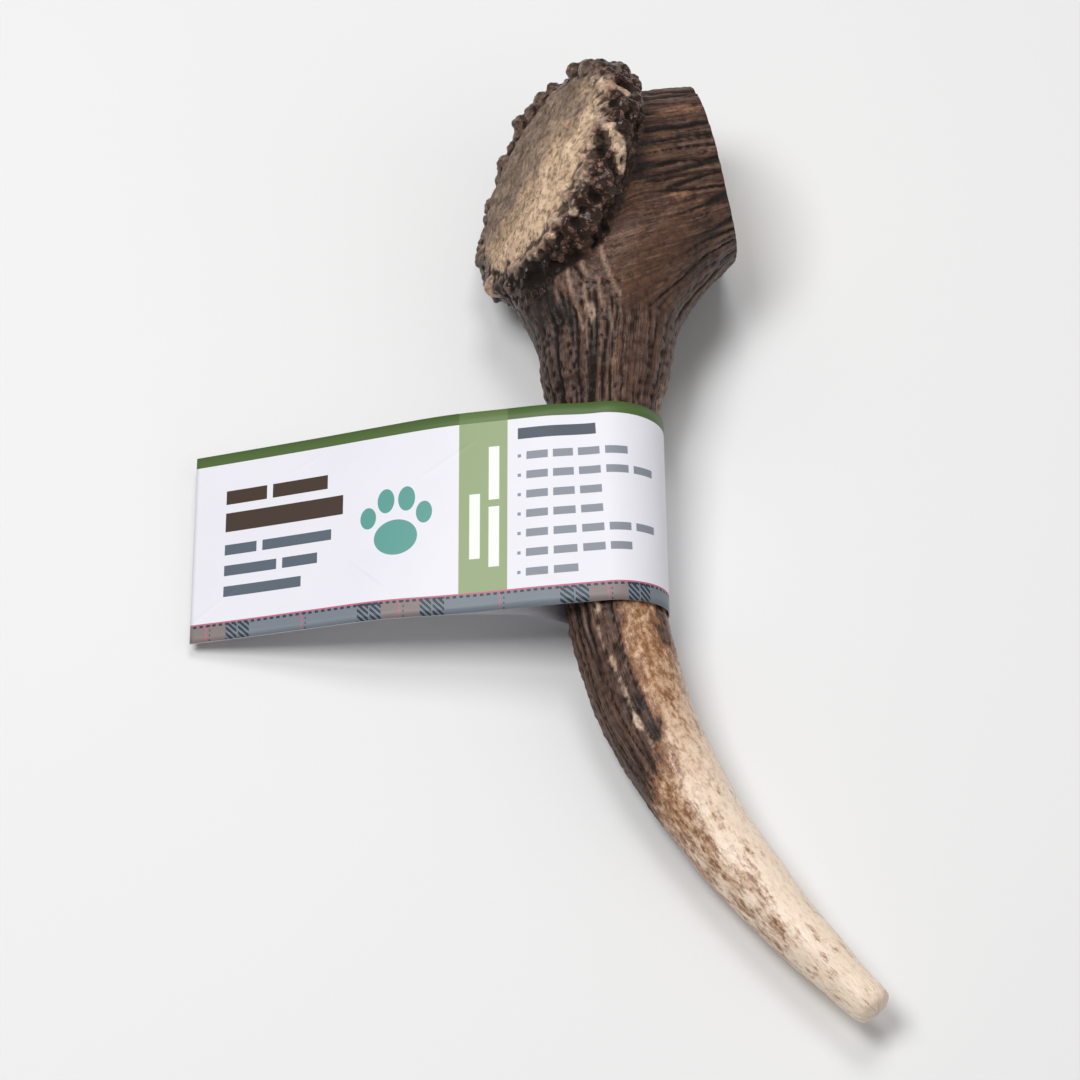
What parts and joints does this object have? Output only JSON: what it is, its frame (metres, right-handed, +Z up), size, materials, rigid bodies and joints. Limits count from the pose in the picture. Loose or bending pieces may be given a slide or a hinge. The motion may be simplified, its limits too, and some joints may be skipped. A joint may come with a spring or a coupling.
{
  "type": "antler dog chew",
  "caption": "Base of a shed deer antler with its curved brow tine, sawn off as a dog chew: rough seal, beaded burr, ridged skin, and a paper flag label round the tine.",
  "frame": {"origin": "on the table under the middle of the whole object's box", "axes": "+Z up as it lies; +Y from the tine's tip towards the burr, along the longest side; +X towards the sawn end of the beam, with the seal facing -X"},
  "size_m": [0.139, 0.2116, 0.0513],
  "materials": {
    "antler": "dry natural antler: dark brown beaded ridges and grooves at the base, worn smooth and glossy to ivory at the tip, bare porous bone on the seal and the sawn end",
    "label_paper": "smooth coated label paper, printed with plain bands and blocks, white on its back"
  },
  "bodies": {
    "root": {"beam_base": "antler", "brow_tine": "antler", "paper_label": "label_paper"}
  },
  "joints": []
}
